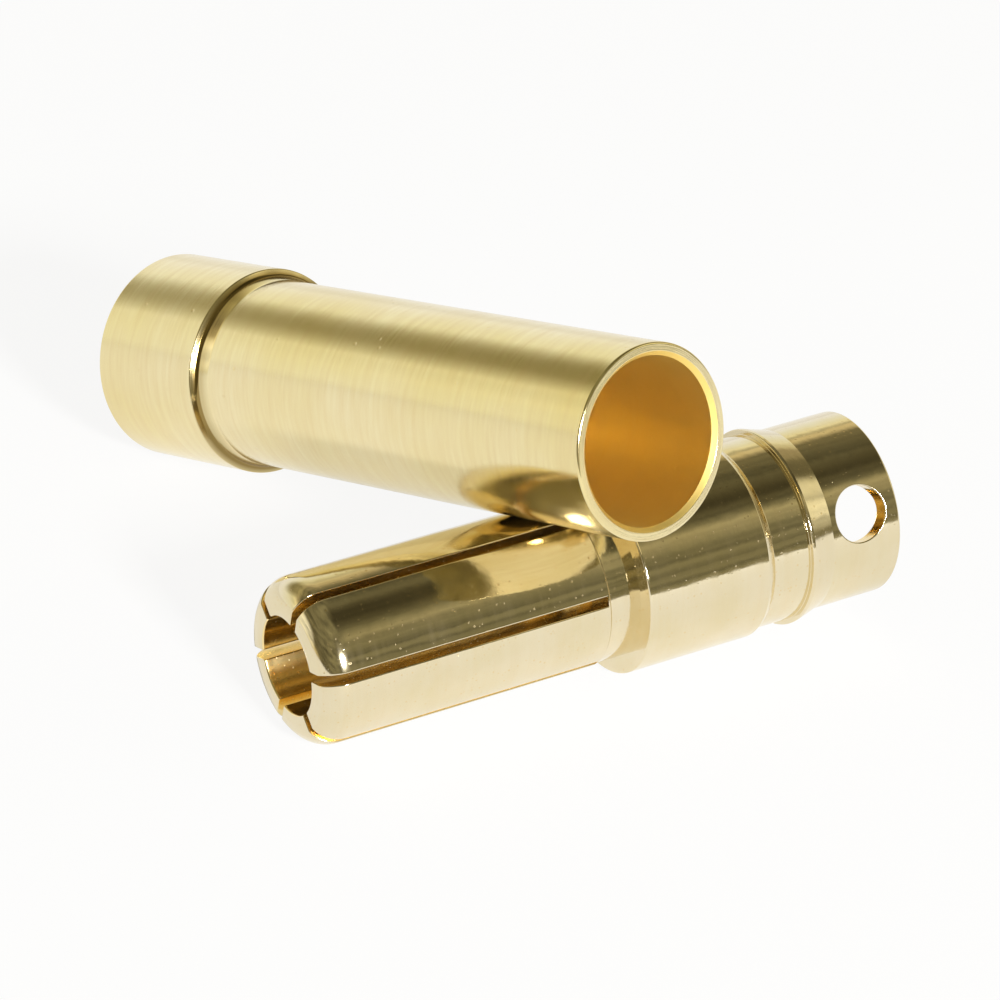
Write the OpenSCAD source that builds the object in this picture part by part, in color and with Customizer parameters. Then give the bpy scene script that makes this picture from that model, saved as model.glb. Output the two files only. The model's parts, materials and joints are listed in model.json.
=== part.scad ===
// Two-piece bullet connector for a battery lead: a slotted spring plug and the tube socket it
// mates with, both turned from brass rod and gold plated. The plug lies on the bench and the
// socket rests across its pin.

/* [Spring pin] */
// Diameter over the petals
pin_d = 5.75; // [5.2:0.05:6.3]
// Length from the shoulder to the nose
pin_l = 11.85; // [9:0.05:16]
// Bore between the petals
pin_bore_d = 3.5; // [2.4:0.05:4]
// How far the bore runs on past the slots
pin_bore_past = 0.6; // [0.2:0.1:1]
// Number of petals
petal_n = 6; // [4:1:8]
// Width of the saw cut between two petals
slot_w = 0.4; // [0.2:0.05:0.7]
// Turn of the first slot from the top, towards the front side
slot_turn = 11; // [0:1:44]
// Length of the relieved neck ahead of the shoulder
neck_l = 1.15; // [0.8:0.05:2]
// How far the neck lies under the petals
neck_relief = 0.05; // [0.02:0.01:0.2]
// Land between the neck and the ends of the slots
slot_land = 0.1; // [0.05:0.05:0.5]
// Length over which the nose is rounded
nose_l = 0.8; // [0.3:0.05:1.2]
// How far the rounding draws the nose in
nose_draw = 0.42; // [0.15:0.01:0.5]
// How far the nose's face is dished towards the bore
nose_dish = 0.12; // [0:0.01:0.3]
// Edge break at the mouth of the bore
nose_lip = 0.12; // [0.04:0.02:0.16]

/* [Plug body] */
// Diameter of the body and of the flange's rim
body_d = 6.9; // [6.5:0.05:8]
// Length of the body, up to its rear chamfer
body_l = 4.7; // [3:0.05:8]
// Length of that chamfer
body_chamfer_l = 0.32; // [0.1:0.02:0.6]
// Diameter of the neck behind the body
waist_d = 6.54; // [6.2:0.02:6.6]
// Length from the body to the flange, chamfer included
waist_l = 1.75; // [1:0.05:3]
// Length of the flange's rim
rim_l = 0.12; // [0.04:0.02:0.5]
// Length of the cone behind the rim
flare_l = 0.88; // [0.4:0.02:1.5]

/* [Wire cups] */
// Bore that takes the stripped wire, the same in both halves
wire_bore_d = 5.2; // [4.2:0.05:5.6]
// Outside diameter of the plug's cup
plug_cup_d = 6.4; // [6.2:0.05:6.8]
// Length of the plug's cup behind its cone
plug_cup_l = 2.7; // [2.5:0.05:5]
// Depth of the wire bore in the plug
plug_wire_l = 4.4; // [3.5:0.1:6]
// Depth of the wire bore in the socket
socket_wire_l = 4.6; // [3:0.1:6]
// Diameter of the solder hole in the side of the plug's cup
solder_hole_d = 1.95; // [1:0.05:2.2]
// Distance from the plug's rear end to the middle of the solder hole
solder_hole_in = 1.5; // [1.2:0.05:1.7]
// Turn of the solder hole from the top, towards the front side
solder_hole_turn = 61; // [0:1:120]

/* [Socket] */
// Outside diameter of the tube
tube_d = 6.5; // [6.3:0.05:7]
// Length of the socket
socket_l = 24.6; // [22:0.1:30]
// Bore that takes the spring pin
socket_bore_d = 5.6; // [5:0.05:6]
// Metal left between the tips of the socket's two bores
web_l = 0.8; // [0.4:0.05:2]
// Diameter of the collar round the wire cup
collar_d = 7.2; // [6.9:0.05:8]
// Length of the collar
collar_l = 5.15; // [3:0.05:8]
// Inner chamfer at the mouth
mouth_lead = 0.16; // [0.05:0.01:0.2]

/* [Turning] */
// Break on every sharp outer edge
edge_break = 0.08; // [0.02:0.01:0.14]
// Included angle of the drill points at the bottoms of the bores
drill_angle = 118; // [90:1:140]

/* [How they lie] */
// Angle between the two halves, seen from above
cross_turn = 77.7; // [60:0.1:100]
// From the shoulder to where the socket rests on the pin
rest_on_pin = 2.3; // [2.2:0.05:5]
// From the socket's back end to where it rests on the pin
rest_on_tube = 18.05; // [14:0.05:20]
// Gap left between the two halves where they touch
rest_gap = 0.02; // [0:0.01:0.1]

/* [Hidden] */
$fn = 96;
gold = [0.86, 0.72, 0.36];
arc_steps = 8;
over = 1;       // how far a cut runs past the face that it opens

pin_r = pin_d / 2;
neck_r = pin_r - neck_relief;
body_r = body_d / 2;
tube_r = tube_d / 2;
collar_r = collar_d / 2;
wire_r = wire_bore_d / 2;
cove_r = collar_r - tube_r - edge_break;
slot_l = pin_l - neck_l - slot_land;
function drill_tip(r) = r / tan(drill_angle / 2);
socket_bore_l = socket_l - socket_wire_l - drill_tip(wire_r) - web_l - drill_tip(socket_bore_d / 2);

// Stations along the plug, from the shoulder to its rear end
waist_z = body_l;
rim_z = waist_z + waist_l;
flare_z = rim_z + rim_l;
cup_z = flare_z + flare_l;
plug_end = cup_z + plug_cup_l;

// Lying on the bench the plug tips until its shoulder and the petals both touch
nose_z = nose_l - pin_l;
plug_dip = atan((body_r - pin_r) / (edge_break - nose_z));
plug_dir = [cos(plug_dip), 0, sin(plug_dip)];
plug_at = [-edge_break * cos(plug_dip), 0, body_r * cos(plug_dip) - edge_break * sin(plug_dip)];

function unit(v) = v / norm(v);
function socket_dir(pitch) =
    [cos(pitch) * cos(cross_turn), -cos(pitch) * sin(cross_turn), sin(pitch)];
// The socket's back end when the tube touches the pin at a given pitch
function socket_at(pitch) =
    plug_at - rest_on_pin * plug_dir
    - unit(cross(plug_dir, socket_dir(pitch))) * (pin_r + tube_r + rest_gap)
    - rest_on_tube * socket_dir(pitch);
// Height of the collar's lowest point above the bench
function collar_height(pitch) =
    socket_at(pitch)[2] + edge_break * sin(pitch) - collar_r * cos(pitch);
// The pitch at which the collar just touches the bench, by halving
function resting_pitch(low, high, steps) =
    let (mid = (low + high) / 2)
    steps == 0 ? mid
    : collar_height(mid) > 0 ? resting_pitch(mid, high, steps - 1)
    : resting_pitch(low, mid, steps - 1);
pitch = resting_pitch(0, 60, 40);

// The box round both halves, from the rims of their widest rings
plug_rings = [[nose_z, pin_r], [-pin_l, pin_r - nose_draw], [edge_break, body_r],
              [plug_end - edge_break, plug_cup_d / 2], [plug_end, plug_cup_d / 2 - edge_break]];
socket_rings = [[0, collar_r - edge_break], [edge_break, collar_r],
                [socket_l - edge_break, tube_r], [socket_l, tube_r - edge_break]];
function ring_reach(rings, at, dir, k, side) =
    [for (r = rings) at[k] + r[0] * dir[k] + side * r[1] * sqrt(1 - dir[k] * dir[k])];
function middle(k) =
    (min(concat(ring_reach(plug_rings, plug_at, plug_dir, k, -1),
                ring_reach(socket_rings, socket_at(pitch), socket_dir(pitch), k, -1)))
     + max(concat(ring_reach(plug_rings, plug_at, plug_dir, k, 1),
                  ring_reach(socket_rings, socket_at(pitch), socket_dir(pitch), k, 1)))) / 2;
centre = [middle(0), middle(1), 0];

// Turned about +Z, then laid with +Z along a direction
module lay(at, dir) {
    translate(at - centre)
        rotate([0, acos(dir[2]), atan2(dir[1], dir[0])])
            children();
}

// A hole bored from z = 0 towards +Z, with a drill point at its bottom
module drilled(r, depth) {
    rotate_extrude()
        polygon([[0, -over], [r, -over], [r, depth], [0, depth + drill_tip(r)]]);
}

// Points of the nose, from the petals' outside to the edge of the bore
function nose_round() =
    [for (i = [0:arc_steps])
        let (a = 90 * i / arc_steps)
        [pin_r - nose_draw * (1 - cos(a)), nose_z - nose_l * sin(a)]];

module pin_shape() {
    bore_r = pin_bore_d / 2;
    rotate_extrude()
        polygon(concat(
            [[0, over], [neck_r, over], [neck_r, -neck_l], [pin_r, -neck_l - neck_relief]],
            nose_round(),
            [[bore_r + nose_lip, nose_dish - pin_l], [bore_r, nose_dish + nose_lip - pin_l],
             [0, nose_dish + nose_lip - pin_l]]));
}

module pin_bore() {
    translate([0, 0, -pin_l])
        drilled(pin_bore_d / 2, slot_l + pin_bore_past);
}

module slots() {
    for (i = [0:petal_n - 1])
        rotate([0, 0, 180 + slot_turn + i * 360 / petal_n])
            translate([0, -slot_w / 2, -pin_l - over])
                cube([pin_r + over, slot_w, slot_l + over]);
}

module body_shape() {
    cup_r = plug_cup_d / 2;
    waist_r = waist_d / 2;
    rotate_extrude()
        polygon([
            [0, 0], [body_r - edge_break, 0], [body_r, edge_break],
            [body_r, waist_z], [waist_r, waist_z + body_chamfer_l], [waist_r, rim_z],
            [body_r - rim_l / 2, rim_z], [body_r, rim_z + rim_l / 2], [body_r, flare_z],
            [cup_r, cup_z], [cup_r, plug_end - edge_break], [cup_r - edge_break, plug_end],
            [0, plug_end]]);
}

module wire_bore(depth) {
    drilled(wire_r, depth);
}

module solder_hole() {
    translate([0, 0, plug_end - solder_hole_in])
        rotate([0, 0, 180 + solder_hole_turn])
            rotate([0, 90, 0])
                cylinder(h = plug_cup_d / 2 + over, d = solder_hole_d);
}

module plug() {
    color(gold)
        lay(plug_at, plug_dir)
            difference() {
                union() {
                    pin_shape();
                    body_shape();
                }
                pin_bore();
                slots();
                translate([0, 0, plug_end])
                    mirror([0, 0, 1])
                        wire_bore(plug_wire_l);
                solder_hole();
            }
}

// Cove between the collar's front face and the tube
function cove() =
    [for (i = [0:arc_steps])
        let (a = 90 * i / arc_steps)
        [tube_r + cove_r * (1 - sin(a)), collar_l + cove_r * (1 - cos(a))]];

module socket_shape() {
    rotate_extrude()
        polygon(concat(
            [[0, 0], [collar_r - edge_break, 0], [collar_r, edge_break],
             [collar_r, collar_l - edge_break]],
            cove(),
            [[tube_r, socket_l - edge_break], [tube_r - edge_break, socket_l], [0, socket_l]]));
}

module pin_socket_bore() {
    bore_r = socket_bore_d / 2;
    translate([0, 0, socket_l])
        mirror([0, 0, 1]) {
            drilled(bore_r, socket_bore_l);
            cylinder(h = mouth_lead, r1 = bore_r + mouth_lead, r2 = bore_r);
        }
}

module socket() {
    color(gold)
        lay(socket_at(pitch), socket_dir(pitch))
            difference() {
                socket_shape();
                pin_socket_bore();
                wire_bore(socket_wire_l);
            }
}

plug();
socket();
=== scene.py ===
import bpy
import json
import math
from mathutils import Euler, Matrix, Vector


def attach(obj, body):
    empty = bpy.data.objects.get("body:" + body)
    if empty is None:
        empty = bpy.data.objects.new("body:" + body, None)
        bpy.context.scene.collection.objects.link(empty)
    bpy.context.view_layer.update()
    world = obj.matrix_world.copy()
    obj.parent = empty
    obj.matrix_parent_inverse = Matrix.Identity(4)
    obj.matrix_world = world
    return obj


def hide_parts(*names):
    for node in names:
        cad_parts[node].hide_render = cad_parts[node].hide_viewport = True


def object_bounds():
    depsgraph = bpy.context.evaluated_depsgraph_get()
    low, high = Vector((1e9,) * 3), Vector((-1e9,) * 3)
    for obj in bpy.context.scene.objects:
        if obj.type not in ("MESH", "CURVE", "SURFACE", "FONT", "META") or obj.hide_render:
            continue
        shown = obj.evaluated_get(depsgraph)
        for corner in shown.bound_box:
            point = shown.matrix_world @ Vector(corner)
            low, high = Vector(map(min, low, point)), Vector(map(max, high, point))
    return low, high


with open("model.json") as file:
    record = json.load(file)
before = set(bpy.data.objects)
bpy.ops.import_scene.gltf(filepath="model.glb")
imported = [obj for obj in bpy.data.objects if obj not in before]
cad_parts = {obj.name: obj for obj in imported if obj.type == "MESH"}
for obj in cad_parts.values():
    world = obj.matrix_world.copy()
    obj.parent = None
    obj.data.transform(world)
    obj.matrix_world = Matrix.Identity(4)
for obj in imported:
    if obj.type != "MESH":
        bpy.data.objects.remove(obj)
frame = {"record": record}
cadLow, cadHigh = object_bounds()
scene = bpy.context.scene
mm = 0.001
mounts = {m["name"]: m for m in frame["record"]["mounts"]}


# Places of the two halves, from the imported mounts

def placeAlong(mountName, alongHere, sign):
    # Matrix that takes a half turned about +Z, in mm, to where it lies
    mount = mounts[mountName]
    axis = Vector(mount["axis"]).normalized() * sign
    turn = Matrix.Rotation(math.atan2(axis.y, axis.x), 4, "Z") @ Matrix.Rotation(math.acos(axis.z), 4, "Y")
    start = Vector(mount["pos_m"]) - axis * alongHere * mm
    return Matrix.Translation(start) @ turn @ Matrix.Scale(mm, 4)


# Turned shapes

def roundedPath(corners, steps=5):
    # Corners (radius, along, rounding) to points (radius, along, normal out, normal along)
    points = []
    for i, (r, z, rounding) in enumerate(corners):
        here = Vector((r, z))
        if i in (0, len(corners) - 1):
            other = Vector(corners[1 if i == 0 else i - 1][:2])
            d = (other - here if i == 0 else here - other).normalized()
            points.append((r, z, d.y, -d.x))
            continue
        before = Vector(corners[i - 1][:2]) - here
        after = Vector(corners[i + 1][:2]) - here
        dIn, dOut = -before.normalized(), after.normalized()
        bend = dIn.angle_signed(dOut)
        cut = min(rounding * math.tan(abs(bend) / 2), before.length * 0.49, after.length * 0.49)
        nIn, nOut = Vector((dIn.y, -dIn.x)), Vector((dOut.y, -dOut.x))
        radius = cut / math.tan(abs(bend) / 2)
        side = 1 if nIn.dot(after) < 0 else -1      # a corner that sticks out, or a hollow one
        centre = here - dIn * cut - nIn * radius * side
        for k in range(steps + 1):
            n = nIn.slerp(nOut, k / steps)
            p = centre + n * radius * side
            points.append((p.x, p.y, n.x, n.y))
    return points


def splitStretch(points, z0, z1, rows):
    # Adds even rows between two stations of the straight wall that holds both and runs their way
    out = []
    for a, b in zip(points, points[1:] + [None]):
        out.append(a)
        if (b and abs(a[0] - b[0]) < 1e-4 and (b[1] - a[1]) * (z1 - z0) > 0
                and min(a[1], b[1]) <= min(z0, z1) and max(a[1], b[1]) >= max(z0, z1)):
            for k in range(rows + 1):
                out.append((a[0], z0 + (z1 - z0) * k / rows, a[2], a[3]))
    return out


def meshFrom(name, verts, normals, faces, place, materials):
    mesh = bpy.data.meshes.new(name)
    mesh.from_pydata([place @ Vector(v) for v in verts], [], faces)
    mesh.polygons.foreach_set("use_smooth", [True] * len(mesh.polygons))
    turn = place.to_quaternion()
    mesh.normals_split_custom_set_from_vertices([(turn @ Vector(n)).normalized() for n in normals])
    for material in materials:
        mesh.materials.append(material)
    obj = bpy.data.objects.new(name, mesh)
    scene.collection.objects.link(obj)
    return obj


def turnedMesh(path, columns, skip=None):
    # A closed turned shape from a path that starts and ends on the axis
    verts, normals, rows = [], [], []
    for r, z, nr, nz in path:
        if r < 1e-6:
            rows.append([len(verts)] * columns)
            verts.append((0, 0, z))
            normals.append((0, 0, nz))
            continue
        rows.append(list(range(len(verts), len(verts) + columns)))
        for c in range(columns):
            a = math.tau * c / columns
            verts.append((r * math.cos(a), r * math.sin(a), z))
            normals.append((nr * math.cos(a), nr * math.sin(a), nz))
    faces = []
    for i in range(len(rows) - 1):
        for c in range(columns):
            if skip and skip(i, c):
                continue
            d = (c + 1) % columns
            quad = [rows[i][c], rows[i][d], rows[i + 1][d], rows[i + 1][c]]
            faces.append(tuple(dict.fromkeys(quad)))
    return verts, normals, faces, rows


# Plug body: shoulder, waist, flange and wire cup with its solder hole

plugBody = {
    "bodyRadius": 3.45, "bodyLength": 4.7, "bodyChamfer": 0.32,
    "waistRadius": 3.27, "flangeAt": 6.45, "rimLength": 0.12, "coneEnd": 7.45,
    "cupRadius": 3.2, "rearEnd": 10.15, "wireRadius": 2.6, "wireDepth": 4.4,
    "holeRadius": 0.975, "holeIn": 1.5, "holeTurn": 241, "holeEdge": 0.05,
    "columns": 288, "patchColumns": 40, "patchRows": 40, "patchReach": 1.15,
}
plugPlace = placeAlong("plug_wire_cup", plugBody["rearEnd"] - plugBody["wireDepth"] / 2, 1)


drillSlope = math.tan(math.radians(118 / 2))      # half of a drill's point angle


def plugBodyPath(b):
    tip = b["wireRadius"] / drillSlope
    hole = b["rearEnd"] - b["holeIn"]
    path = roundedPath([
        (0, 1.2, 0), (2.0, 1.2, 0.05), (2.0, 0, 0.05),
        (b["bodyRadius"], 0, 0.07),
        (b["bodyRadius"], b["bodyLength"], 0.05),
        (b["waistRadius"], b["bodyLength"] + b["bodyChamfer"], 0.05),
        (b["waistRadius"], b["flangeAt"], 0.02),
        (b["bodyRadius"], b["flangeAt"], 0.05),
        (b["bodyRadius"], b["flangeAt"] + b["rimLength"], 0.05),
        (b["cupRadius"], b["coneEnd"], 0.05),
        (b["cupRadius"], b["rearEnd"], 0.09),
        (b["wireRadius"], b["rearEnd"], 0.06),
        (b["wireRadius"], b["rearEnd"] - b["wireDepth"], 0.04),
        (0, b["rearEnd"] - b["wireDepth"] - tip, 0)])
    low, high = hole - b["patchReach"], hole + b["patchReach"]
    outer = splitStretch(path, low, high, b["patchRows"])
    return splitStretch(outer, high, low, b["patchRows"]), low, high


def makePlugBody(b, material):
    path, low, high = plugBodyPath(b)
    columns, half = b["columns"], b["patchColumns"] // 2
    middle = round(b["holeTurn"] / 360 * columns)
    at = math.tau * middle / columns
    cosAt, sinAt = math.cos(at), math.sin(at)
    hole = b["rearEnd"] - b["holeIn"]
    firsts = []     # the rows at which the outer and the inner patch start
    for radius, start in ((b["cupRadius"], low), (b["wireRadius"], high)):
        firsts.append(next(i for i, p in enumerate(path)
                           if abs(p[0] - radius) < 1e-4 and abs(p[1] - start) < 1e-4))

    def inPatch(i, c):
        offset = (c - middle + columns // 2) % columns - columns // 2
        return -half <= offset < half and any(f <= i < f + b["patchRows"] for f in firsts)

    verts, normals, faces, rows = turnedMesh(path, columns, inPatch)
    across, up = b["patchColumns"], b["patchRows"]
    rim = ([(k, 0) for k in range(across)] + [(across, k) for k in range(up)]
           + [(across - k, up) for k in range(across)] + [(0, up - k) for k in range(up)])
    a, edge = b["holeRadius"], b["holeEdge"]
    lips = []
    for first, surface, facing in ((firsts[0], b["cupRadius"], 1), (firsts[1], b["wireRadius"], -1)):
        loops = []
        for c, k in rim:
            kk = k if facing > 0 else up - k       # the inner wall's rows run the other way
            loops.append((rows[first + kk][(middle - half + c) % columns], c, k))
        rings = [[v for v, c, k in loops]]
        steps = 12
        for s in range(1, steps + 6):
            ring = []
            for v, c, k in loops:
                t = math.atan2((c / across - 0.5) * 2, (k / up - 0.5) * 2)
                q = surface * math.sin((c - half) * math.tau / columns)
                z = low + (high - low) * k / up - hole
                reach, sink = a + edge, 0
                if s < steps:
                    f = 1 - (1 - s / steps) ** 1.3
                    y, w = q + (reach * math.sin(t) - q) * f, z + (reach * math.cos(t) - z) * f
                    tilt = 0
                else:
                    tilt = math.radians(90) * (s - steps) / 5
                    reach = a + edge - edge * math.sin(tilt)
                    sink = edge * (1 - math.cos(tilt))
                    y, w = reach * math.sin(t), reach * math.cos(t)
                x = math.sqrt(surface ** 2 - y ** 2) - sink * facing
                ring.append(len(verts))
                flat = Vector((math.sqrt(surface ** 2 - y ** 2), y, 0)) / surface * facing
                inward = Vector((0, -math.sin(t), -math.cos(t)))
                n = flat * math.cos(tilt) + inward * math.sin(tilt)
                verts.append((x * cosAt - y * sinAt, x * sinAt + y * cosAt, hole + w))
                normals.append((n.x * cosAt - n.y * sinAt, n.x * sinAt + n.y * cosAt, n.z))
            rings.append(ring)
        lips.append(rings[-1])
        for one, two in zip(rings, rings[1:]):
            for i in range(len(one)):
                j = (i + 1) % len(one)
                quad = (one[i], one[j], two[j], two[i])
                faces.append(quad if facing > 0 else quad[::-1])
    for i in range(len(lips[0])):
        j = (i + 1) % len(lips[0])
        faces.append((lips[0][i], lips[0][j], lips[1][j], lips[1][i]))
    return meshFrom("plugBody", verts, normals, faces, plugPlace, [material])


# Spring pin: one petal, repeated round the axis by a node tree

springPin = {
    "radius": 2.875, "length": 11.85, "neckRadius": 2.825, "neckLength": 1.15, "neckStep": 0.05,
    "slotEnd": 1.25, "slotWidth": 0.34, "slotEdge": 0.035, "petals": 6, "firstPetal": 41,
    "noseRound": 1.05, "noseStart": 65, "noseLip": 0.08,
    "boreRadius": 1.68, "borePast": 0.6, "rootDepth": 0.8, "columns": 36, "lengthRows": 24,
}


def pinPath(p):
    boreEnd = -p["slotEnd"] + p["borePast"]
    tip = p["boreRadius"] / drillSlope
    front = -p["length"]
    path = roundedPath([(0, boreEnd + tip, 0), (p["boreRadius"], boreEnd, 0.04),
                        (p["boreRadius"], front, 0)], 4)[:-1]
    highest = math.sin(math.radians(p["noseStart"]))
    for start, roll, top, turns in (
            (p["boreRadius"] + p["noseLip"], -p["noseLip"], 1, range(0, 91, 15)),
            (p["radius"] - p["noseRound"], p["noseRound"], highest, range(p["noseStart"], -1, -5))):
        for turn in turns:      # a lip rolls out of the bore to a flat ring, and a dome runs back from it
            c, s = math.cos(math.radians(turn)), math.sin(math.radians(turn))
            path.append((start + roll * c, front + abs(roll) * (top - s), math.copysign(c, roll), -s))
    path += roundedPath([(p["radius"], front, 0), (p["radius"], -p["neckLength"] - p["neckStep"], 0.02),
                         (p["neckRadius"], -p["neckLength"], 0.02), (p["neckRadius"], p["rootDepth"], 0.04),
                         (0, p["rootDepth"], 0)], 4)[1:]
    low = front + p["noseRound"] * highest + 0.1
    path = splitStretch(path, -p["slotEnd"], low, p["lengthRows"])
    return splitStretch(path, low, -p["slotEnd"], p["lengthRows"])


def petalSector(p):
    path = pinPath(p)
    sector = math.pi / p["petals"]
    halfSlot, edge = p["slotWidth"] / 2, p["slotEdge"]
    slotZ = -p["slotEnd"]
    verts, rows = [], []

    def add(r, z, angle):
        verts.append((r * math.cos(angle), r * math.sin(angle), z))
        return len(verts) - 1

    def columnsOf(i):
        r, z, nr, nz = path[i]
        slotted = z <= slotZ + 1e-4
        plain = z >= slotZ - 1e-4
        if r < 1e-6:
            one = add(0, z, 0)
            return {"mid": [one] * (p["columns"] + 1), "wide": [[one] * 3, [one] * 3], "edge": None}
        reach = sector - math.asin((halfSlot + edge) / max(r, p["boreRadius"]))
        mid = []
        for c in range(p["columns"] + 1):
            f = c / p["columns"] * 2 - 1
            f = math.copysign(1 - (1 - abs(f)) ** 1.25, f)     # columns close up towards the slot
            mid.append(add(r, z, reach * f))
        row = {"mid": mid, "wide": None, "edge": None}
        if plain:
            row["wide"] = [[end] + [add(r, z, s * (reach + (sector - reach) * k / 2)) for k in (1, 2)]
                           for s, end in ((-1, mid[0]), (1, mid[-1]))]
        if slotted:
            row["edge"] = []
            for s, end in ((-1, mid[0]), (1, mid[-1])):
                strip = [end]
                for k in range(1, 5):
                    a = math.radians(90) * k / 4
                    q, sink = halfSlot + edge * (1 - math.sin(a)), edge * (1 - math.cos(a))
                    rr = r - sink * nr
                    strip.append(add(rr, z - sink * nz, s * (sector - math.asin(q / rr))))
                row["edge"].append(strip)
        return row

    rows = [columnsOf(i) for i in range(len(path))]
    faces = []

    def strip(one, two):
        for c in range(len(one) - 1):
            quad = tuple(dict.fromkeys((one[c], one[c + 1], two[c + 1], two[c])))
            if len(quad) > 2:
                faces.append(quad)

    for i in range(len(rows) - 1):
        strip(rows[i]["mid"], rows[i + 1]["mid"])
        for side in (0, 1):
            for kind in ("wide", "edge"):
                one, two = rows[i][kind], rows[i + 1][kind]
                if one and two and not (kind == "wide" and rows[i]["edge"] and rows[i + 1]["edge"]):
                    if side:
                        strip(one[side], two[side])
                    else:
                        strip(one[side][::-1], two[side][::-1])
    slotRows = [i for i, row in enumerate(rows) if row["edge"]]
    inner, outer = slotRows[0], slotRows[-1]
    for side in (0, 1):
        wall = [rows[i]["edge"][side][-1] for i in slotRows]
        faces.append(tuple(wall[::-1] if side else wall))
        back = rows[outer]["wide"][side] + rows[inner]["wide"][side][::-1]
        back += rows[inner]["edge"][side][1:] + rows[outer]["edge"][side][:0:-1]
        faces.append(tuple(back[::-1] if side else back))
    mesh = bpy.data.meshes.new("petalSector")
    mesh.from_pydata(verts, [], faces)
    mesh.polygons.foreach_set("use_smooth", [True] * len(mesh.polygons))
    return mesh


def newTree(name, kind, inputs, outputs):
    tree = bpy.data.node_groups.new(name, kind)
    for label, socketType, default in inputs:
        socket = tree.interface.new_socket(label, in_out="INPUT", socket_type=socketType)
        if default is not None:
            socket.default_value = default
    for label, socketType in outputs:
        tree.interface.new_socket(label, in_out="OUTPUT", socket_type=socketType)
    return tree, tree.nodes.new("NodeGroupInput"), tree.nodes.new("NodeGroupOutput")


def wire(tree, source, target):
    tree.links.new(source, target)
    return target


def calc(tree, operation, *values):
    # One Math node; each value is a number or a socket
    node = tree.nodes.new("ShaderNodeMath")
    node.operation = operation
    for i, value in enumerate(values):
        if isinstance(value, (int, float)):
            node.inputs[i].default_value = value
        else:
            tree.links.new(value, node.inputs[i])
    return node.outputs[0]


def petalRing():
    tree, given, result = newTree("petalRing", "GeometryNodeTree", [
        ("Petal", "NodeSocketGeometry", None), ("Petals", "NodeSocketInt", 6),
        ("First Petal", "NodeSocketFloat", 0.0), ("Join Within", "NodeSocketFloat", 0.001),
        ("Finish", "NodeSocketMaterial", None)], [("Pin", "NodeSocketGeometry")])
    points = tree.nodes.new("GeometryNodePoints")
    wire(tree, given.outputs["Petals"], points.inputs["Count"])
    step = calc(tree, "DIVIDE", math.tau, given.outputs["Petals"])
    index = tree.nodes.new("GeometryNodeInputIndex")
    turn = calc(tree, "ADD", calc(tree, "MULTIPLY", index.outputs[0], step), given.outputs["First Petal"])
    spin = tree.nodes.new("ShaderNodeCombineXYZ")
    wire(tree, turn, spin.inputs["Z"])
    copies = tree.nodes.new("GeometryNodeInstanceOnPoints")
    wire(tree, points.outputs[0], copies.inputs["Points"])
    wire(tree, given.outputs["Petal"], copies.inputs["Instance"])
    wire(tree, spin.outputs[0], copies.inputs["Rotation"])
    real = tree.nodes.new("GeometryNodeRealizeInstances")
    wire(tree, copies.outputs[0], real.inputs[0])
    join = tree.nodes.new("GeometryNodeMergeByDistance")
    wire(tree, real.outputs[0], join.inputs["Geometry"])
    wire(tree, given.outputs["Join Within"], join.inputs["Distance"])
    finish = tree.nodes.new("GeometryNodeSetMaterial")
    wire(tree, join.outputs[0], finish.inputs["Geometry"])
    wire(tree, given.outputs["Finish"], finish.inputs["Material"])
    wire(tree, finish.outputs[0], result.inputs["Pin"])
    return tree


def runTree(obj, tree, values):
    # Runs a node tree on an object and gives back a plain mesh
    modifier = obj.modifiers.new(tree.name, "NODES")
    modifier.node_group = tree
    for item in tree.interface.items_tree:
        if item.item_type == "SOCKET" and item.in_out == "INPUT" and item.name in values:
            modifier[item.identifier] = values[item.name]
    graph = bpy.context.evaluated_depsgraph_get()
    mesh = bpy.data.meshes.new_from_object(obj.evaluated_get(graph), depsgraph=graph)
    obj.modifiers.remove(modifier)
    return mesh


def makePin(p, material):
    start = bpy.data.objects.new("petalStart", petalSector(p))
    scene.collection.objects.link(start)
    mesh = runTree(start, petalRing(), {
        "Petals": p["petals"], "First Petal": math.radians(p["firstPetal"]),
        "Join Within": 0.0005, "Finish": material})
    bpy.data.objects.remove(start)
    mesh.transform(plugPlace)
    mesh.set_sharp_from_angle(angle=math.radians(50))
    pin = bpy.data.objects.new("springPin", mesh)
    scene.collection.objects.link(pin)
    return pin


# Socket: tube, cove, collar and its two bores

socketTube = {
    "tubeRadius": 3.25, "length": 24.6, "boreRadius": 2.8, "web": 0.8,
    "collarRadius": 3.6, "collarLength": 5.15, "coveStep": 0.1, "coveLength": 0.6, "wireRadius": 2.6, "wireDepth": 4.6,
    "mouthLead": 0.16, "columns": 320,
}
socketPlace = placeAlong("socket_wire_cup", socketTube["wireDepth"] / 2, -1)


def makeSocket(s, material):
    webEnd = s["wireDepth"] + s["wireRadius"] / drillSlope + s["web"]
    path = roundedPath([
        (0, s["wireDepth"] + s["wireRadius"] / drillSlope, 0), (s["wireRadius"], s["wireDepth"], 0.04),
        (s["wireRadius"], 0, 0.06), (s["collarRadius"], 0, 0.09),
        (s["collarRadius"], s["collarLength"], 0.05),
        (s["tubeRadius"] + s["coveStep"], s["collarLength"] + s["coveStep"], 0.2),
        (s["tubeRadius"], s["collarLength"] + s["coveLength"], 0.5),
        (s["tubeRadius"], s["length"], 0.08), (s["boreRadius"] + s["mouthLead"], s["length"], 0.03),
        (s["boreRadius"], s["length"] - s["mouthLead"], 0.03),
        (s["boreRadius"], webEnd + s["boreRadius"] / drillSlope, 0.04), (0, webEnd, 0)], 6)
    verts, normals, faces, rows = turnedMesh(path, s["columns"])
    return meshFrom("socketTube", verts, normals, faces, socketPlace, [material])


# Shader groups that both golds share

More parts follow.
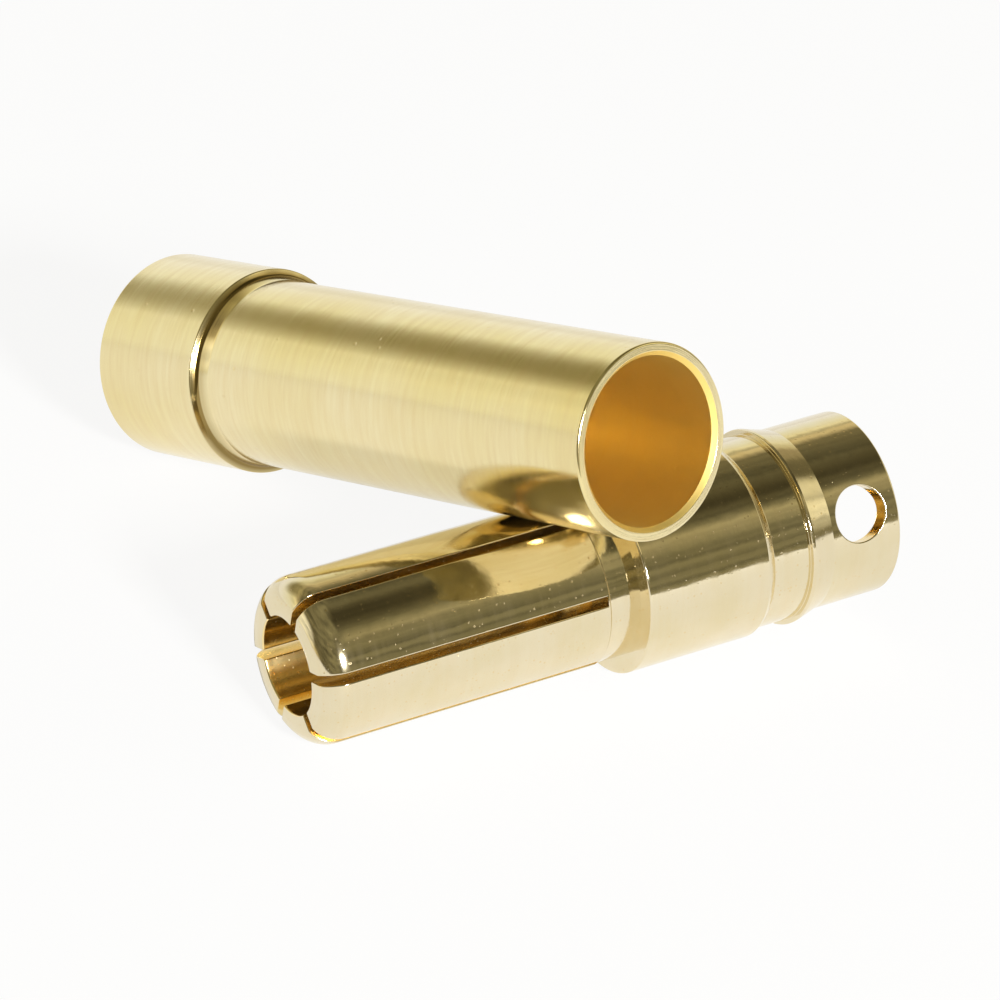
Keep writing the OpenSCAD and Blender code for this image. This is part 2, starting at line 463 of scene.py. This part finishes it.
def turningLines():
    tree, given, result = newTree("turningLines", "ShaderNodeTree", [
        ("Vector", "NodeSocketVector", None), ("Spacing", "NodeSocketFloat", 0.05),
        ("Waver", "NodeSocketFloat", 0.6)], [("Height", "NodeSocketFloat"), ("Streak", "NodeSocketFloat")])
    part = tree.nodes.new("ShaderNodeSeparateXYZ")
    wire(tree, given.outputs["Vector"], part.inputs[0])
    x, y, z = part.outputs
    radius = calc(tree, "MAXIMUM", calc(tree, "SQRT", calc(tree, "ADD", calc(tree, "MULTIPLY", x, x),
                                                         calc(tree, "MULTIPLY", y, y))), 0.05)
    lines = []
    for widen in (1, 5):
        place = tree.nodes.new("ShaderNodeCombineXYZ")
        for i, across in enumerate((x, y)):
            turned = calc(tree, "DIVIDE", across, radius)
            wire(tree, calc(tree, "MULTIPLY", turned, given.outputs["Waver"]), place.inputs[i])
        # the faces across the axis have their lines in rings, so the radius counts as length there
        along = calc(tree, "ADD", z, calc(tree, "MULTIPLY", radius, 1.7))
        spacing = calc(tree, "MULTIPLY", given.outputs["Spacing"], widen)
        wire(tree, calc(tree, "DIVIDE", along, spacing), place.inputs[2])
        noise = tree.nodes.new("ShaderNodeTexNoise")
        noise.inputs["Scale"].default_value = 1
        noise.inputs["Detail"].default_value = 3
        noise.inputs["Roughness"].default_value = 0.65
        wire(tree, place.outputs[0], noise.inputs["Vector"])
        lines.append(noise.outputs["Fac"])
    wire(tree, lines[0], result.inputs["Height"])
    wire(tree, lines[1], result.inputs["Streak"])
    return tree


def softWaves():
    tree, given, result = newTree("softWaves", "ShaderNodeTree", [
        ("Vector", "NodeSocketVector", None), ("Size", "NodeSocketFloat", 1.0)],
        [("Height", "NodeSocketFloat"), ("Shade", "NodeSocketFloat")])
    for output, widen, detail in (("Height", 1, 2), ("Shade", 2.3, 4)):
        noise = tree.nodes.new("ShaderNodeTexNoise")
        noise.inputs["Detail"].default_value = detail
        wire(tree, given.outputs["Vector"], noise.inputs["Vector"])
        size = calc(tree, "MULTIPLY", given.outputs["Size"], widen)
        wire(tree, calc(tree, "DIVIDE", 1, size), noise.inputs["Scale"])
        wire(tree, noise.outputs["Fac"], result.inputs[output])
    return tree


def plateSpecks():
    tree, given, result = newTree("plateSpecks", "ShaderNodeTree", [
        ("Vector", "NodeSocketVector", None), ("Size", "NodeSocketFloat", 0.2),
        ("Amount", "NodeSocketFloat", 0.2)], [("Mask", "NodeSocketFloat")])
    warp = tree.nodes.new("ShaderNodeTexNoise")
    wire(tree, given.outputs["Vector"], warp.inputs["Vector"])
    wire(tree, calc(tree, "DIVIDE", 1.6, given.outputs["Size"]), warp.inputs["Scale"])
    cells = tree.nodes.new("ShaderNodeTexVoronoi")
    wire(tree, given.outputs["Vector"], cells.inputs["Vector"])
    wire(tree, calc(tree, "DIVIDE", 1, given.outputs["Size"]), cells.inputs["Scale"])
    tone = tree.nodes.new("ShaderNodeSeparateColor")
    wire(tree, cells.outputs["Color"], tone.inputs[0])
    chosen = calc(tree, "LESS_THAN", tone.outputs[0], given.outputs["Amount"])
    reach = calc(tree, "MULTIPLY", tone.outputs[1], 0.34)
    spread = calc(tree, "ADD", cells.outputs["Distance"], calc(tree, "MULTIPLY", warp.outputs["Fac"], 0.3))
    inside = calc(tree, "SUBTRACT", calc(tree, "ADD", reach, 0.15), spread)
    soft = tree.nodes.new("ShaderNodeMapRange")
    soft.inputs["From Max"].default_value = 0.12
    wire(tree, inside, soft.inputs["Value"])
    wire(tree, calc(tree, "MULTIPLY", soft.outputs[0], chosen), result.inputs["Mask"])
    return tree


sharedGroups = {"lines": turningLines(), "waves": softWaves(), "specks": plateSpecks()}


def useGroup(tree, name, vector, **values):
    node = tree.nodes.new("ShaderNodeGroup")
    node.node_tree = sharedGroups[name]
    wire(tree, vector, node.inputs["Vector"])
    for label, value in values.items():
        node.inputs[label].default_value = value
    return node


def blendColor(tree, factor, one, two):
    node = tree.nodes.new("ShaderNodeMix")
    node.data_type = "RGBA"
    wire(tree, factor, node.inputs["Factor"])
    for value, socket in ((one, node.inputs["A"]), (two, node.inputs["B"])):
        if isinstance(value, tuple):
            socket.default_value = (*value, 1)
        else:
            wire(tree, value, socket)
    return node.outputs["Result"]


def between(tree, value, low, high, toLow=0.0, toHigh=1.0):
    node = tree.nodes.new("ShaderNodeMapRange")
    wire(tree, value, node.inputs["Value"])
    for label, number in (("From Min", low), ("From Max", high), ("To Min", toLow), ("To Max", toHigh)):
        node.inputs[label].default_value = number
    return node.outputs["Result"]


def goldPlate(name, place, look):
    material = bpy.data.materials.new(name)
    material.use_nodes = True
    tree = material.node_tree
    shader = tree.nodes["Principled BSDF"]
    where = tree.nodes.new("ShaderNodeTexCoord")
    turned = tree.nodes.new("ShaderNodeMapping")       # object coordinates to mm about the half's own axis
    turned.vector_type = "TEXTURE"
    turned.inputs["Location"].default_value = place.to_translation()
    turned.inputs["Rotation"].default_value = place.to_euler()
    turned.inputs["Scale"].default_value = (mm, mm, mm)
    wire(tree, where.outputs["Object"], turned.inputs["Vector"])
    vector = turned.outputs[0]

    lines = useGroup(tree, "lines", vector, Spacing=look["lineSpacing"], Waver=look["lineWaver"])
    waves = useGroup(tree, "waves", vector, Size=look["waveSize"])
    specks = useGroup(tree, "specks", vector, Size=look["speckSize"], Amount=look["speckAmount"])

    part = tree.nodes.new("ShaderNodeSeparateXYZ")
    wire(tree, vector, part.inputs[0])
    radius = calc(tree, "SQRT", calc(tree, "ADD", calc(tree, "POWER", part.outputs[0], 2),
                                     calc(tree, "POWER", part.outputs[1], 2)))
    facing = tree.nodes.new("ShaderNodeMapping")
    facing.vector_type = "TEXTURE"
    facing.inputs["Rotation"].default_value = place.to_euler()
    wire(tree, where.outputs["Normal"], facing.inputs["Vector"])
    ahead = tree.nodes.new("ShaderNodeSeparateXYZ")
    wire(tree, facing.outputs[0], ahead.inputs[0])
    outwards = calc(tree, "ADD", calc(tree, "MULTIPLY", ahead.outputs[0], part.outputs[0]),
                    calc(tree, "MULTIPLY", ahead.outputs[1], part.outputs[1]))
    outwards = calc(tree, "ADD", calc(tree, "DIVIDE", outwards, calc(tree, "MAXIMUM", radius, 0.1)),
                    calc(tree, "ABSOLUTE", ahead.outputs[2]))
    outside = between(tree, outwards, 0.15, 0.4)        # bores, slot walls and drill tips face inwards
    shade = between(tree, waves.outputs["Shade"], 0.35, 0.65)
    skin = blendColor(tree, shade, look["gold"], look["goldDeep"])
    streak = between(tree, lines.outputs["Streak"], 0.35, 0.75, 0, look["streakTint"])
    skin = blendColor(tree, streak, skin, look["goldWarm"])
    speck = calc(tree, "MULTIPLY", specks.outputs["Mask"], look["speckTint"])
    skin = blendColor(tree, speck, skin, look["goldWarm"])
    start, end = look["shadedGroove"]         # painted shade: the corner between these two stations is darkened towards a deep brown where it faces along the axis
    shadedGroove = calc(tree, "MULTIPLY", between(tree, part.outputs[2], start - 0.04, start + 0.06),
                  between(tree, part.outputs[2], end, end - 0.3))
    shadedGroove = calc(tree, "MULTIPLY", shadedGroove, between(tree, ahead.outputs[2], 0.1, 0.35))
    skin = blendColor(tree, shadedGroove, skin, look["goldPaintedShade"])
    # painted light: faces that look inwards take a brighter, deeper gold for the glow of light bouncing round inside
    # the bores
    wire(tree, blendColor(tree, outside, look["goldBoreGlow"], skin), shader.inputs["Base Color"])

    brushed = between(tree, lines.outputs["Streak"], 0.3, 0.7, look["roughLow"], look["roughHigh"])
    rough = calc(tree, "ADD", brushed, calc(tree, "MULTIPLY", specks.outputs["Mask"], look["speckRough"]))
    rough = calc(tree, "ADD", rough, between(tree, outside, 0, 1, look["boreRough"], 0))
    wire(tree, rough, shader.inputs["Roughness"])
    shader.inputs["Metallic"].default_value = 1

    height = calc(tree, "MULTIPLY", lines.outputs["Height"], look["lineDepth"])
    height = calc(tree, "ADD", height, calc(tree, "MULTIPLY", waves.outputs["Height"], look["waveDepth"]))
    height = calc(tree, "SUBTRACT", height, calc(tree, "MULTIPLY", specks.outputs["Mask"], look["speckDepth"]))
    bump = tree.nodes.new("ShaderNodeBump")
    bump.inputs["Strength"].default_value = 1
    bump.inputs["Distance"].default_value = mm
    wire(tree, height, bump.inputs["Height"])
    wire(tree, bump.outputs[0], shader.inputs["Normal"])
    return material


plugGold = goldPlate("polishedGoldPlate", plugPlace, {
    "gold": (0.83, 0.735, 0.52), "goldDeep": (0.80, 0.70, 0.46), "goldWarm": (0.80, 0.60, 0.30),
    # painted light: the bore gold below is brighter and deeper than the outer gold, for the glow inside the bores
    "goldBoreGlow": (0.95, 0.76, 0.38), "boreRough": 0.1, "roughLow": 0.06, "roughHigh": 0.13,
    # painted shade: the dark brown below is laid on the corner at the neck step
    "goldPaintedShade": (0.42, 0.31, 0.12), "shadedGroove": (-1.2, -1.0), "lineSpacing": 0.07, "lineWaver": 0.5, "lineDepth": 0.0006, "streakTint": 0.15,
    "waveSize": 0.8, "waveDepth": 0.009,
    "speckSize": 0.14, "speckAmount": 0.5, "speckDepth": 0.0015, "speckTint": 0.5, "speckRough": 0.12,
})
socketGold = goldPlate("turnedGoldPlate", socketPlace, {
    "gold": (0.91, 0.80, 0.49), "goldDeep": (0.87, 0.74, 0.38), "goldWarm": (0.80, 0.62, 0.32),
    # painted light: the bore gold below is brighter and deeper than the outer gold, for the glow inside the bores
    "goldBoreGlow": (1.0, 0.77, 0.26), "boreRough": 0.36, "roughLow": 0.1, "roughHigh": 0.17,
    # painted shade: the dark brown below is laid in the cove between collar and tube
    "goldPaintedShade": (0.34, 0.24, 0.08), "shadedGroove": (5.16, 5.75), "lineSpacing": 0.05, "lineWaver": 1.2, "lineDepth": 0.0026, "streakTint": 0.45,
    "waveSize": 2.2, "waveDepth": 0.01,
    "speckSize": 0.25, "speckAmount": 0.05, "speckDepth": 0.004, "speckTint": 0.3, "speckRough": 0.05,
})

body = makePlugBody(plugBody, plugGold)
pin = makePin(springPin, plugGold)
socket = makeSocket(socketTube, socketGold)
print("halves made:", len(body.data.polygons), len(pin.data.polygons), len(socket.data.polygons), "faces")


# Floor, light and camera

paleBench = {"reach": 1.5, "tone": (0.9, 0.9, 0.9, 1), "rough": 0.8, "seenWhite": 0.9, "mirroredWhite": 0.7}


def whiteFloor():
    mesh = bpy.data.meshes.new("bench")
    reach = paleBench["reach"]
    corners = [(-reach, -reach, 0), (reach, -reach, 0), (reach, reach, 0), (-reach, reach, 0)]
    mesh.from_pydata(corners, [], [(0, 1, 2, 3)])
    bench = bpy.data.objects.new("bench", mesh)
    scene.collection.objects.link(bench)
    material = bpy.data.materials.new("paleBench")
    material.use_nodes = True
    tree = material.node_tree
    shader = tree.nodes["Principled BSDF"]
    shader.inputs["Base Color"].default_value = paleBench["tone"]
    shader.inputs["Roughness"].default_value = paleBench["rough"]
    glow = tree.nodes.new("ShaderNodeEmission")
    glow.inputs["Color"].default_value = (1, 1, 1, 1)
    rays = tree.nodes.new("ShaderNodeLightPath")
    mirrored = calc(tree, "MAXIMUM", rays.outputs["Is Glossy Ray"], rays.outputs["Is Transmission Ray"])
    seen = calc(tree, "MAXIMUM", calc(tree, "MULTIPLY", rays.outputs["Is Camera Ray"], paleBench["seenWhite"]),
                calc(tree, "MULTIPLY", mirrored, paleBench["mirroredWhite"]))
    mix = tree.nodes.new("ShaderNodeMixShader")
    wire(tree, seen, mix.inputs[0])
    wire(tree, shader.outputs[0], mix.inputs[1])
    wire(tree, glow.outputs[0], mix.inputs[2])
    wire(tree, mix.outputs[0], tree.nodes["Material Output"].inputs["Surface"])
    mesh.materials.append(material)


def towards(turn, height):
    # Direction from a turn about the bench, 0 towards -Y, and a height above it, in degrees
    turn, height = math.radians(turn), math.radians(height)
    return (math.sin(turn) * math.cos(height), -math.cos(turn) * math.cos(height), math.sin(height))


studioPatches = [       # (turn, height), full within, gone beyond, tone
    ((-168, 32), 9, 22, (0.30, 0.26, 0.13)),
    ((40, 44), 3, 10, (0.34, 0.30, 0.17)),
    ((70, 68), 5, 22, (0.07, 0.06, 0.03)),
    ((70, 26), 12, 24, (0.90, 0.84, 0.60)),
    ((-112, 12), 8, 22, (0.95, 0.92, 0.78)),
]


def studioWorld():
    # Bright and pale behind and to the sides, dim and warm towards the front and above
    world = bpy.data.worlds.new("studio")
    scene.world = world
    world.use_nodes = True
    tree = world.node_tree
    light = tree.nodes["Background"]
    where = tree.nodes.new("ShaderNodeTexCoord")
    part = tree.nodes.new("ShaderNodeSeparateXYZ")
    wire(tree, where.outputs["Generated"], part.inputs[0])
    slope = calc(tree, "SUBTRACT", calc(tree, "MULTIPLY", part.outputs[1], 0.8), part.outputs[2])
    ramp = tree.nodes.new("ShaderNodeValToRGB")
    wire(tree, between(tree, slope, -1, 1), ramp.inputs[0])
    stops = [(0.10, (0.2, 0.18, 0.1)), (0.38, (0.15, 0.13, 0.07)), (0.50, (0.55, 0.46, 0.26)),
             (0.60, (0.86, 0.80, 0.52)), (0.72, (0.92, 0.92, 0.8)), (0.85, (0.97, 0.98, 1))]
    for i, (at, tone) in enumerate(stops):
        stop = ramp.color_ramp.elements[i] if i < 2 else ramp.color_ramp.elements.new(at)
        stop.position, stop.color = at, (*tone, 1)
    # uneven room: streaks that lie level, a dim patch behind the bench, a strip light in front
    long = tree.nodes.new("ShaderNodeMapping")
    long.inputs["Scale"].default_value = (1.3, 1.3, 5)
    wire(tree, where.outputs["Generated"], long.inputs["Vector"])
    noise = tree.nodes.new("ShaderNodeTexNoise")
    noise.inputs["Scale"].default_value = 2.2
    noise.inputs["Detail"].default_value = 4
    wire(tree, long.outputs[0], noise.inputs["Vector"])
    tone = ramp.outputs[0]
    for at, near, far, shadeTo in studioPatches:
        dot = tree.nodes.new("ShaderNodeVectorMath")
        dot.operation = "DOT_PRODUCT"
        wire(tree, where.outputs["Generated"], dot.inputs[0])
        dot.inputs[1].default_value = towards(*at)
        amount = between(tree, dot.outputs["Value"], math.cos(math.radians(far)), math.cos(math.radians(near)))
        tone = blendColor(tree, amount, tone, shadeTo)
    uneven = tree.nodes.new("ShaderNodeVectorMath")
    uneven.operation = "SCALE"
    wire(tree, tone, uneven.inputs[0])
    dim = between(tree, slope, 0.0, 0.4, 1, 0)      # the pale part stays even
    swing = calc(tree, "SUBTRACT", between(tree, noise.outputs["Fac"], 0.3, 0.7, 0.5, 1.6), 1)
    wave = calc(tree, "MULTIPLY", dim, swing)
    wire(tree, calc(tree, "ADD", wave, 1), uneven.inputs["Scale"])
    rays = tree.nodes.new("ShaderNodeLightPath")
    white = (1.0, 1.0, 1.0)
    seen = blendColor(tree, rays.outputs["Is Camera Ray"], uneven.outputs[0], white)
    wire(tree, seen, light.inputs["Color"])
    light.inputs["Strength"].default_value = 1


boreLight = {"turn": -2, "height": 24, "away": 0.5, "size": 0.08, "power": 3.6}     # lights the socket's bore


def softbox(name, box, aim):
    data = bpy.data.lights.new(name, "AREA")
    data.shape = "RECTANGLE"
    data.size = data.size_y = box["size"]
    data.energy = box["power"]
    lamp = bpy.data.objects.new(name, data)
    lamp.location = aim + Vector(towards(box["turn"], box["height"])) * box["away"]
    lamp.rotation_euler = (lamp.location - aim).to_track_quat("Z", "Y").to_euler()
    scene.collection.objects.link(lamp)


whiteFloor()
studioWorld()
middle = (Vector(cadLow) + Vector(cadHigh)) / 2
softbox("boreLight", boreLight, middle)

cameraView = {"location": (-0.0800453, -0.1250352, 0.092531),
              "turn": (58.66393573, -4.70654806, -30.22896781), "lens": 180, "sensor": 36}
camera = bpy.data.objects.new("camera", bpy.data.cameras.new("camera"))
camera.location = cameraView["location"]
camera.rotation_euler = Euler([math.radians(a) for a in cameraView["turn"]], "XYZ")
camera.data.lens = cameraView["lens"]
camera.data.sensor_width = cameraView["sensor"]
camera.data.clip_start, camera.data.clip_end = 0.005, 20
scene.collection.objects.link(camera)
scene.camera = camera
scene.view_settings.view_transform = "Standard"
print("bench, light and camera set")

for piece, node, slot in ((body, "plug", "plug_gold"), (pin, "plug", "plug_gold"),
                          (socket, "socket", "socket_gold")):
    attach(piece, "root")
    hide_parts(node)
